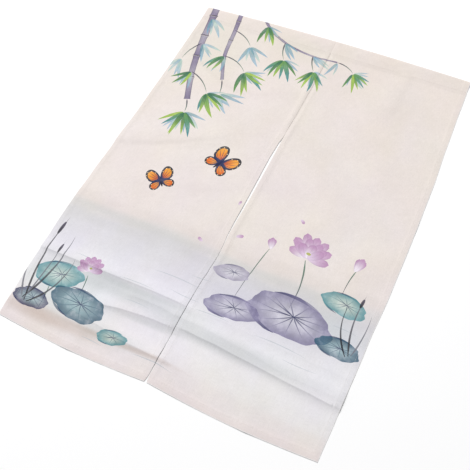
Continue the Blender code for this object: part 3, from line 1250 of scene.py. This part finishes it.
def make_panel(side, shapes, materials):
    """One panel's cloth with its print, and the turned-under cloth of its hems."""
    x0, x1 = panel_span(side)
    rim = rectangle(x0, x1, FOOT, PANEL_TOP, GRID)
    rows = np.append(spaced(FOOT, PANEL_TOP - SEAM_RISE, GRID)[1:],
                     spaced(PANEL_TOP - SEAM_RISE, PANEL_TOP, 0.002)[1:-1])
    loose = grid_points(x0, x1, rows)
    lines = hem_lines(side, HEM_DEPTHS) + crease_lines(side)
    lines += [line for shape in shapes for line in shape["lines"]]
    rings = [shape["outline"] for shape in shapes]
    flat, faces = cut_flat(rim, loose, lines, rings)
    name = sided("panel_cloth", side)
    cloth = make_cloth(name, side, panel_cloth, flat, faces, materials, shapes)
    hem_flat, hem_faces = cut_flat(rim, loose[:0], hem_lines(side, HEM_CLOTH_DEPTHS), [])
    middle = hem_flat[hem_faces].mean(axis=1)
    inside = hem_distance(side, middle[:, 0], middle[:, 1])
    hem_faces = hem_faces[(inside > HEM_SET_IN) & (inside < HEM_WIDTH)]
    hem = make_cloth(sided("hem", side), side, hem_cloth, hem_flat, hem_faces, materials[-1:])
    return cloth, hem


def make_sleeve(shapes, materials):
    """The rod sleeve's cloth: over the crown, back underneath and turned in, open at both ends."""
    rim = rectangle(-PANEL, PANEL, SLEEVE_START, SLEEVE_END, GRID)
    turns = SECTION_RUN[::4] + SLEEVE_START
    bends = [straight((-PANEL, y), (PANEL, y)) for y in turns[1:-1]]
    ends = [straight((x, SLEEVE_START), (x, SLEEVE_END), 0.003)
            for depth in HEM_DEPTHS for x in (-PANEL + depth, PANEL - depth)]
    seam = [straight((x / 1000, SLEEVE_START), (x / 1000, SLEEVE_END), 0.003)
            for x in GROOVE_ROWS]
    loose = grid_points(-PANEL, PANEL, spaced(SLEEVE_START, SLEEVE_END, 0.004)[1:-1])
    shapes = [shape for shape in shapes if shape["outline"][:, 1].max() > SLEEVE_START]
    lines = bends + ends + seam + [line for shape in shapes for line in shape["lines"]]
    flat, faces = cut_flat(rim, loose, lines, [shape["outline"] for shape in shapes])
    return make_cloth("sleeve_cloth", 0, sleeve_cloth, flat, faces, materials, shapes)


# Sewing

STITCH_LENGTH = 0.0030
STITCH_PITCH = 0.0038
THREAD = 0.00038
STITCH_RINGS = (
    # share along, thickness, height above the cloth in threads
    (0.00, 0.45, -0.55),
    (0.14, 0.90, 0.05),
    (0.50, 1.00, 0.30),
    (0.86, 0.90, 0.05),
    (1.00, 0.45, -0.55),
)
STITCH_SIDES = 6

# How far a row stops short of an edge, and how far the row that closes the sleeve lies in it
ROW_END = 0.002
CLOSING_ROW = 0.0016


def stitch_row(shape_of, side, start, end):
    """Starts, directions and normals of the stitches along a straight line on the flat cloth."""
    start, end = np.array(start, float), np.array(end, float)
    length = np.hypot(*(end - start))
    count = int(length // STITCH_PITCH)
    run = (end - start) / length
    at = (np.arange(count) + 0.5) * length / count
    first = start + run * (at - STITCH_LENGTH / 2)[:, None]
    last = start + run * (at + STITCH_LENGTH / 2)[:, None]
    ends = [shape_of(side, p[:, 0], p[:, 1], 1) for p in (first, last)]
    normal = surface_normals(shape_of, side, (first + last) / 2, 1)
    return ends[0], ends[1] - ends[0], normal


def make_stitches(name, rows, material):
    """Every stitch of a piece in one mesh: short threads with both ends drawn into the cloth."""
    start, run, normal = (np.concatenate([row[i] for row in rows]) for i in range(3))
    along = run / np.linalg.norm(run, axis=1)[:, None]
    aside = np.cross(normal, along)
    aside /= np.linalg.norm(aside, axis=1)[:, None]
    verts = []
    for share, thickness, height in STITCH_RINGS:
        middle = start + run * share + normal * THREAD * height
        for i in range(STITCH_SIDES):
            angle = 2 * math.pi * i / STITCH_SIDES
            reach = THREAD / 2 * thickness
            verts.append(middle + (aside * math.cos(angle) + normal * math.sin(angle)) * reach)
    verts = np.stack(verts, 1)
    count, each = verts.shape[:2]
    faces = []
    for ring in range(len(STITCH_RINGS) - 1):
        for i in range(STITCH_SIDES):
            j = (i + 1) % STITCH_SIDES
            a, b = ring * STITCH_SIDES, (ring + 1) * STITCH_SIDES
            faces.append((a + i, b + i, b + j, a + j))
    one = np.array(faces)
    every = (one[None] + (np.arange(count) * each)[:, None, None]).reshape(-1, 4)
    mesh = bpy.data.meshes.new(name)
    mesh.from_pydata(verts.reshape(-1, 3).tolist(), [], every.tolist())
    mesh.shade_smooth()
    mesh.materials.append(material)
    return new_object(name, mesh)


def panel_stitches(side, material):
    """Hem stitching round a panel's three sides. It runs on beside the seam above the slit."""
    x0, x1 = panel_span(side)
    low = FOOT + STITCH_LINE * BOTTOM_HEM / HEM_WIDTH
    near_top = PANEL_TOP - ROW_END
    rows = [
        ((x0 + STITCH_LINE, near_top), (x0 + STITCH_LINE, low)),
        ((x0 + STITCH_LINE, low), (x1 - STITCH_LINE, low)),
        ((x1 - STITCH_LINE, low), (x1 - STITCH_LINE, near_top)),
    ]
    return make_stitches(sided("stitches", side),
                         [stitch_row(panel_cloth, side, a, b) for a, b in rows], material)


def sleeve_stitches(material):
    """The row that closes the sleeve, and the hem stitching at its two ends."""
    y = SLEEVE_START + CLOSING_ROW
    reach = PANEL - STITCH_LINE
    crown_end = SLEEVE_START + 0.9 * (LENGTH / 2 - SLEEVE_START)
    rows = [((-PANEL + ROW_END, y), (-ROW_END, y)), ((ROW_END, y), (PANEL - ROW_END, y))]
    rows += [((x, y + ROW_END), (x, crown_end)) for x in (-reach, reach)]
    return make_stitches("stitches_sleeve",
                         [stitch_row(sleeve_cloth, 0, a, b) for a, b in rows], material)


# Materials

NUMBER, COLOUR, VECTOR = "NodeSocketFloat", "NodeSocketColor", "NodeSocketVector"


def feed(tree, socket, value):
    """Links a value into a socket, or sets the socket to a plain number or colour."""
    if isinstance(value, Value):
        tree.links.new(value.socket, socket)
    else:
        socket.default_value = value


def feed_all(tree, node, **values):
    """Feeds a node's inputs by their names, with _ for a space."""
    for label, value in values.items():
        feed(tree, node.inputs[label.replace("_", " ")], value)


class Value:
    """What a node gives out. Each sum or product of such values becomes a maths node."""

    def __init__(self, tree, socket):
        self.tree = tree
        self.socket = socket

    def maths(self, operation, *others, clamp=False):
        node = self.tree.nodes.new("ShaderNodeMath")
        node.operation = operation
        node.use_clamp = clamp
        for socket, value in zip(node.inputs, (self, *others)):
            feed(self.tree, socket, value)
        return Value(self.tree, node.outputs[0])

    def __add__(self, other):
        return self.maths("ADD", other)

    def __sub__(self, other):
        return self.maths("SUBTRACT", other)

    def __rsub__(self, other):
        return self.maths("MULTIPLY_ADD", -1.0, other)

    def __mul__(self, other):
        return self.maths("MULTIPLY", other)

    def __truediv__(self, other):
        return self.maths("DIVIDE", other)

    def __abs__(self):
        return self.maths("ABSOLUTE")

    def parts(self):
        """The x, y and z of a place."""
        node = self.tree.nodes.new("ShaderNodeSeparateXYZ")
        feed(self.tree, node.inputs[0], self)
        return [Value(self.tree, part) for part in node.outputs]

    def eased(self, low, high):
        """0 below low, 1 above high, eased between them."""
        node = self.tree.nodes.new("ShaderNodeMapRange")
        node.interpolation_type = "SMOOTHSTEP"
        feed_all(self.tree, node, Value=self, From_Min=low, From_Max=high)
        return Value(self.tree, node.outputs["Result"])

    def noise(self, scale, detail=2.0, roughness=0.5, stretch=(1, 1, 1)):
        """Noise round 0.5 at a place, finer along the axes that are stretched more."""
        mapping = self.tree.nodes.new("ShaderNodeMapping")
        feed_all(self.tree, mapping, Vector=self, Scale=stretch)
        node = self.tree.nodes.new("ShaderNodeTexNoise")
        feed_all(self.tree, node, Vector=Value(self.tree, mapping.outputs["Vector"]), Scale=scale,
                 Detail=detail, Roughness=roughness)
        return Value(self.tree, node.outputs["Fac"])


def value_from(tree, kind, output, **settings):
    """One output of a new node."""
    node = tree.nodes.new(kind)
    for label, setting in settings.items():
        setattr(node, label, setting)
    return Value(tree, node.outputs[output])


def mixed(tree, share, first, second, blend="MIX"):
    node = tree.nodes.new("ShaderNodeMix")
    node.data_type = "RGBA"
    node.blend_type = blend
    feed_all(tree, node, Factor=share, A=first, B=second)
    return Value(tree, node.outputs["Result"])


def bump(tree, height, strength, distance, **under):
    node = tree.nodes.new("ShaderNodeBump")
    feed_all(tree, node, Height=height, Strength=strength, Distance=distance, **under)
    return Value(tree, node.outputs["Normal"])


def new_group(name, inputs, outputs):
    """A shader node group with named inputs, each (name, kind, value), and named outputs."""
    group = bpy.data.node_groups.new(name, "ShaderNodeTree")
    for label, kind, value in inputs:
        socket = group.interface.new_socket(name=label, in_out="INPUT", socket_type=kind)
        if value is not None:
            socket.default_value = value
    for label, kind in outputs:
        group.interface.new_socket(name=label, in_out="OUTPUT", socket_type=kind)
    entry = group.nodes.new("NodeGroupInput")
    return group, {label: Value(group, entry.outputs[label]) for label, _, _ in inputs}


def give_out(group, **values):
    feed_all(group, group.nodes.new("NodeGroupOutput"), **values)
    return group


def place_group(tree, group, **values):
    """Puts a node group into a material. Its outputs come back by name."""
    node = tree.nodes.new("ShaderNodeGroup")
    node.node_tree = group
    feed_all(tree, node, **values)
    return {socket.name: Value(tree, socket) for socket in node.outputs}


def linen_weave_group():
    """Plain weave with uneven, slubby threads."""
    group, given = new_group(
        "linen weave",
        [("Plane", VECTOR, None), ("Threads per Metre", NUMBER, 1900.0), ("Slub", NUMBER, 1.0)],
        [("Shade", NUMBER), ("Height", NUMBER)],
    )
    plane = given["Plane"]
    turns = given["Threads per Metre"] * math.pi
    across, along = ((part * turns).maths("SINE") for part in plane.parts()[:2])
    weave = across * along * 0.35 + (abs(across) + abs(along))
    warp = plane.noise(1.0, 3.0, 0.6, (620, 60, 1))
    weft = plane.noise(1.0, 3.0, 0.6, (66, 700, 1))
    slub = (warp + weft - 1.0) * given["Slub"]
    return give_out(group, Shade=slub + 1.0, Height=slub * 1.6 + weave * 0.3)


# Tints of the printed ground down the cloth. Beyond the print's own ombré they are darker towards the
# top and paler towards the foot: painted shade and painted light that even out the key light's
# fall-off.
GROUND_TINTS_AND_SHADING = (
    # y on the plane, colour
    (-0.592, (227, 217, 215)),
    (-0.555, (228, 221, 220)),
    (-0.520, (231, 227, 228)),
    (-0.480, (231, 228, 231)),
    (-0.410, (226, 225, 229)),
    (-0.340, (223, 221, 227)),
    (-0.285, (217, 215, 219)),
    (-0.248, (211, 209, 211)),
    (-0.222, (216, 212, 210)),
    (-0.190, (224, 215, 211)),
    (-0.160, (229, 220, 216)),
    (0.060, (228, 219, 215)),
    (0.250, (227, 218, 212)),
    (0.592, (225, 215, 208)),
)


def ground_dye_and_shading_group():
    """The cloth's own printed ground: warm at the top, cool and misty below, with uneven dye; darker
    towards the top and paler towards the foot, as painted shade and light against the key light's
    fall-off.
    """
    group, given = new_group(
        "ground dye and painted shading",
        [("Plane", VECTOR, None), ("Unevenness", NUMBER, 1.0)],
        [("Colour", COLOUR)],
    )
    plane = given["Plane"]
    moved = (plane.noise(3.2, 3.0, 0.5, (0.6, 1.6, 1)) - 0.5) * 0.09 + plane.parts()[1]
    low, high = GROUND_TINTS_AND_SHADING[0][0], GROUND_TINTS_AND_SHADING[-1][0]
    ramp = group.nodes.new("ShaderNodeValToRGB")
    ramp.color_ramp.interpolation = "EASE"
    stops = ramp.color_ramp.elements
    for i, (y, tint) in enumerate(GROUND_TINTS_AND_SHADING):
        at = (y - low) / (high - low)
        stop = stops[i] if i < 2 else stops.new(at)
        stop.position = at
        stop.color = (*srgb(*tint), 1.0)
    feed_all(group, ramp, Fac=(moved - low) / (high - low))
    even = plane.noise(9.0, 4.0, 0.55) * 0.15 + plane.noise(46.0, 3.0, 0.6) * 0.06
    shade = (even - 0.105) * given["Unevenness"] + 1.0
    pink = plane.noise(5.0) - 0.5
    cream = plane.noise(6.5, stretch=(1.3, 0.8, 1)) - 0.5
    tone = group.nodes.new("ShaderNodeCombineColor")
    feed_all(group, tone, Red=shade, Green=pink * 0.06 + shade, Blue=cream * -0.14 + shade)
    dyed_and_shaded = mixed(group, 1.0, Value(group, ramp.outputs["Color"]), Value(group, tone.outputs[0]),
                 "MULTIPLY")
    return give_out(group, Colour=dyed_and_shaded)


def brushed_ink_group():
    """Ink laid on cloth: pooled at its edges, streaked along the brush and blooming where wet."""
    group, given = new_group(
        "brushed ink",
        [("Cloth", COLOUR, None), ("Ink", COLOUR, None), ("Cover", NUMBER, 1.0),
         ("Brush Place", VECTOR, None), ("Plane", VECTOR, None), ("Pooled Edge", NUMBER, 0.2),
         ("Rib", NUMBER, 0.0), ("Streaks", NUMBER, 0.2), ("Bloom", NUMBER, 0.3)],
        [("Colour", COLOUR)],
    )
    place, plane, cover = given["Brush Place"], given["Plane"], given["Cover"]
    aside = abs(place.parts()[1])
    pooled = aside.eased(0.55, 1.0) * given["Pooled Edge"]
    rib = (1.0 - aside.eased(0.03, 0.16)) * given["Rib"]
    streaks = (place.noise(1.0, 3.0, 0.6, (2.2, 9, 40)) - 0.5) * given["Streaks"]
    blooms = (plane.noise(34.0, 4.0, 0.6) - 0.5) * given["Bloom"]
    grain = plane.noise(520.0, 2.0, 0.6) - 0.5
    tone = grain * 0.25 + (1.0 - (pooled + rib) + (streaks + blooms))
    thin = (blooms - streaks * 0.8).maths("MAXIMUM", 0.0)
    left = cover.maths("SUBTRACT", thin, clamp=True) * cover.maths("GREATER_THAN", 0.001)
    dark = mixed(group, 1.0, given["Ink"], tone, "MULTIPLY")
    return give_out(group, Colour=mixed(group, left, given["Cloth"], dark))


def hem_press_group():
    """Small puckers beside the stitching, and pale hem edges: wear of their folded edges, and painted
    light over the shade on their edge walls.
    """
    group, given = new_group(
        "hem press",
        [("Plane", VECTOR, None), ("Pucker", NUMBER, 1.0)],
        [("Wear", NUMBER), ("Height", NUMBER)],
    )
    plane = given["Plane"]
    x, y, _ = plane.parts()
    across = abs(x)
    side = PANEL / 2 - abs(across - PANEL / 2)
    foot = (y - FOOT) * (HEM_WIDTH / BOTTOM_HEM)
    at_slit = across.maths("LESS_THAN", PANEL / 4)
    outer = (side + at_slit).maths("MINIMUM", foot)
    off_stitch = abs(side.maths("MINIMUM", foot) - STITCH_LINE)
    pucker = plane.noise(150.0) * (1.0 - off_stitch.eased(0.001, 0.010)) * given["Pucker"]
    # Pale rim of the hemmed edges: wear, and painted light over the shaded edge walls
    return give_out(group, Wear=1.0 - outer.eased(0.0004, 0.0022), Height=pucker)


def new_material(name):
    made = bpy.data.materials.new(name)
    made.use_nodes = True
    return made, made.node_tree, made.node_tree.nodes["Principled BSDF"]


# Paler cloth on the outer 2 mm of the hemmed edges and their walls: wear of the folded edges, and
# painted light over the shade that falls there
EDGE_WEAR_AND_LIGHT = 0.80
WORN_AND_LIT_CLOTH = (0.95, 0.92, 0.91, 1.0)
UNPRINTED_CLOTH = (0.83, 0.81, 0.79, 1.0)


def cloth_material(name, groups, edge, rib, streaks, bloom, cover=1.0, pale=0.0):
    """Printed linen-look cloth. Its ink settings suit one way of painting."""
    made, tree, shader = new_material(name)
    plane = value_from(tree, "ShaderNodeUVMap", "UV", uv_map="plane")
    weave = place_group(tree, groups["weave"], Plane=plane, Slub=0.20)
    # The printed ground, with painted shade and light against the key light's fall-off
    dye_and_shading = place_group(tree, groups["dye_and_shading"], Plane=plane)
    press = place_group(tree, groups["press"], Plane=plane)
    ink, alpha = (value_from(tree, "ShaderNodeAttribute", output, attribute_name="ink")
                  for output in ("Color", "Alpha"))
    brush = value_from(tree, "ShaderNodeAttribute", "Vector", attribute_name="brush_place")
    drawn = place_group(tree, groups["ink"], Cloth=dye_and_shading["Colour"], Ink=ink, Cover=alpha * cover,
                        Brush_Place=brush, Plane=plane, Pooled_Edge=edge, Rib=rib,
                        Streaks=streaks, Bloom=bloom)
    faded = mixed(tree, pale, drawn["Colour"], UNPRINTED_CLOTH)
    # Pale hem edges: wear, and painted light over the shaded edge walls
    worn_and_lit = mixed(tree, press["Wear"] * EDGE_WEAR_AND_LIGHT, faded, WORN_AND_LIT_CLOTH)
    puckered = bump(tree, press["Height"], 0.7, 0.0008)
    feed_all(tree, shader, Base_Color=mixed(tree, 1.0, worn_and_lit, weave["Shade"], "MULTIPLY"),
             Roughness=0.86, Specular_IOR_Level=0.28, Sheen_Weight=0.12, Sheen_Roughness=0.45,
             Normal=bump(tree, weave["Height"], 0.55, 0.00016, Normal=puckered))
    return made


def thread_material():
    """Twisted cream sewing thread."""
    made, tree, shader = new_material("hem thread")
    place = value_from(tree, "ShaderNodeTexCoord", "Object")
    twist = place.noise(1.0, stretch=(2600, 2600, 5200))
    tint = mixed(tree, twist, (0.60, 0.55, 0.51, 1.0), (0.78, 0.73, 0.68, 1.0))
    feed_all(tree, shader, Base_Color=tint, Roughness=0.55, Sheen_Weight=0.2,
             Normal=bump(tree, twist, 0.5, 0.00008))
    return made


INK_WAYS = (
    # kind, pooled edge, rib, streaks, bloom
    ("plain ground", 0.0, 0.0, 0.0, 0.0),
    ("leaf", 0.26, 0.20, 0.40, 0.55),
    ("cane", 0.42, -0.12, 0.55, 0.55),
    ("pad", 0.0, 0.0, 0.10, 1.10),
    ("petal", 0.10, 0.05, 0.30, 0.25),
    ("wing", 0.05, 0.0, 0.25, 0.45),
    ("brush", 0.05, 0.0, 0.90, 0.35),
    ("wash", 0.0, 0.0, 0.0, 0.0),
)


def make_materials():
    groups = {"weave": linen_weave_group(), "dye_and_shading": ground_dye_and_shading_group(),
              "ink": brushed_ink_group(), "press": hem_press_group()}
    cloths = [cloth_material(f"cloth, {kind} ink", groups, *way) for kind, *way in INK_WAYS]
    cloths.append(cloth_material("cloth back", groups, 0.0, 0.0, 0.0, 0.3, 0.22, 0.45))
    return cloths, thread_material()


# The place where it lies, light and camera

FLOOR_SIZE = 12.0
FLOOR_COLOUR = (0.97, 0.97, 0.97, 1.0)
KEY_AT = (-4.1, 4.5, 7.6)
KEY_SIZE = 4.2
KEY_POWER = 785
KEY_COLOUR = (1.0, 0.99, 0.98)
SKY_COLOUR = (0.97, 0.98, 1.0, 1.0)
SKY_STRENGTH = 0.485
CAMERA_AT = (0.470741, -0.872486, 1.493750)
CAMERA_RIGHT = (0.900634, 0.429846, -0.063965)
CAMERA_UP = (-0.345864, 0.798091, 0.493386)
CAMERA_LENS = 50.958


def make_floor():
    mesh = bpy.data.meshes.new("floor")
    half = FLOOR_SIZE / 2
    mesh.from_pydata([(-half, -half, 0), (half, -half, 0), (half, half, 0), (-half, half, 0)],
                     [], [(0, 1, 2, 3)])
    material, tree, shader = new_material("pale floor")
    feed_all(tree, shader, Base_Color=FLOOR_COLOUR, Roughness=0.9)
    mesh.materials.append(material)
    new_object("floor", mesh)


def make_light():
    """One large softbox behind the curtain's left side, aimed at its middle, in a pale room."""
    key = bpy.data.lights.new("key softbox", "AREA")
    key.shape = "RECTANGLE"
    key.size, key.size_y = KEY_SIZE, KEY_SIZE
    key.energy = KEY_POWER
    key.color = KEY_COLOUR
    made = new_object("key softbox", key)
    made.location = KEY_AT
    made.rotation_euler = (-Vector(KEY_AT)).to_track_quat("-Z", "Y").to_euler()
    world = bpy.data.worlds.new("studio")
    world.use_nodes = True
    feed_all(world.node_tree, world.node_tree.nodes["Background"], Color=SKY_COLOUR,
             Strength=SKY_STRENGTH)
    bpy.context.scene.world = world
    bpy.context.scene.view_settings.view_transform = "Standard"


def make_camera():
    camera = bpy.data.cameras.new("camera")
    camera.lens = CAMERA_LENS
    camera.sensor_width = 36.0
    made = new_object("camera", camera)
    right, up = Vector(CAMERA_RIGHT), Vector(CAMERA_UP)
    turn = Matrix((right, up, right.cross(up))).transposed()
    made.matrix_world = Matrix.Translation(CAMERA_AT) @ turn.to_4x4()
    bpy.context.scene.camera = made


def main():
    make_floor()
    make_light()
    make_camera()
    shapes = drawn_print()
    cloths, thread = make_materials()
    for side, node in ((-1, "panel_left"), (1, "panel_right")):
        cloth, hem = make_panel(side, shapes, cloths)
        stitches = panel_stitches(side, thread)
        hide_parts(node)
        for piece in (cloth, hem, stitches):
            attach(piece, "root")
    sleeve = make_sleeve(shapes, cloths)
    stitches = sleeve_stitches(thread)
    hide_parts("rod_sleeve")
    for piece in (sleeve, stitches):
        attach(piece, "root")


main()
